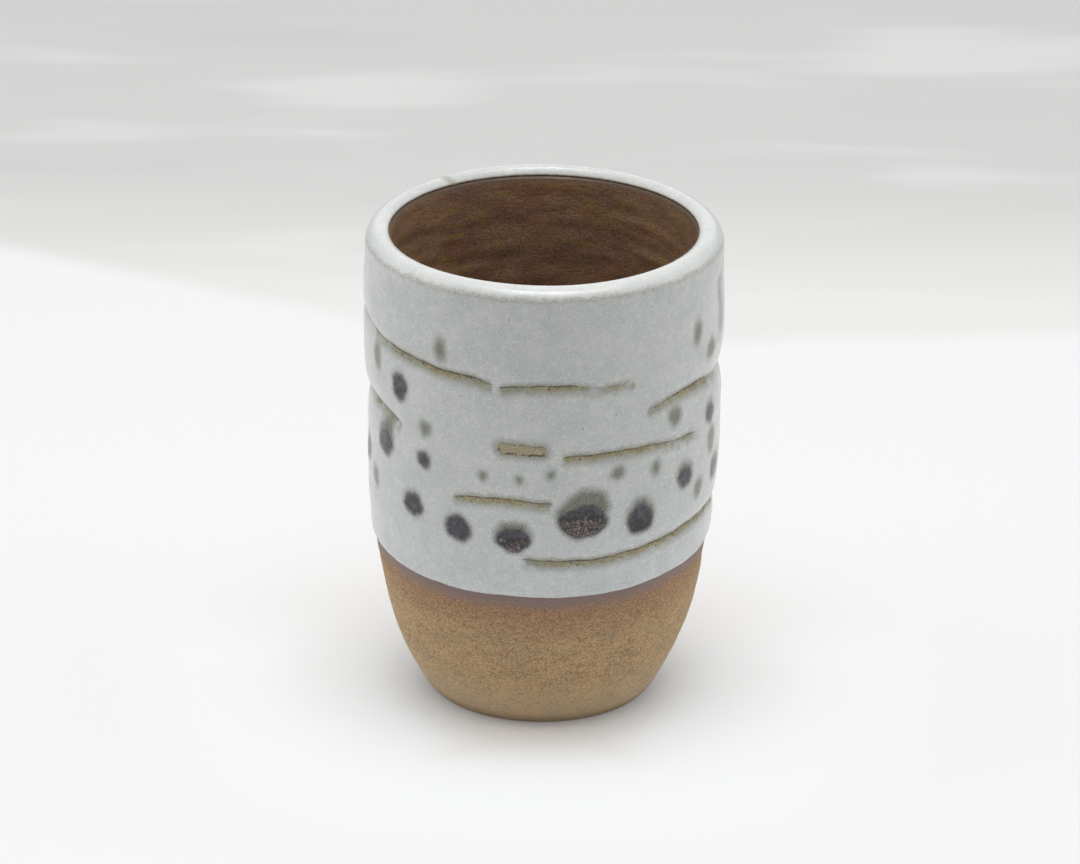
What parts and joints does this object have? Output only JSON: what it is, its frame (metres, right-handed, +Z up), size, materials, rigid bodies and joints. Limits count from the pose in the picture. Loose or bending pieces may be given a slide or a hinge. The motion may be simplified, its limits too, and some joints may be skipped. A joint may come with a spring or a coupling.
{
  "type": "tea cup",
  "caption": "Tall straight-sided stoneware tea cup without a handle, pale outer glaze over a bare clay base, cut ledges and oxide spots.",
  "frame": {"origin": "centre of the foot's underside, in the plane of the table", "axes": "+Z up along the cup's axis, -Y towards the side that the picture shows, +X to the right of it"},
  "size_m": [0.068, 0.068, 0.0935],
  "materials": {
    "stoneware": "matt, sandy, fired unglazed",
    "pale_glaze": "satin gloss, slightly mottled",
    "brown_glaze": "satin, with throwing rings",
    "dark_oxide": "satin, metallic in the thickest places",
    "olive_oxide": "satin, soft-edged"
  },
  "bodies": {
    "root": {"clay_body": "stoneware", "outer_glaze": "pale_glaze", "liner_glaze": "brown_glaze", "dark_oxide_spots": "dark_oxide", "olive_oxide_spots": "olive_oxide"}
  },
  "joints": []
}
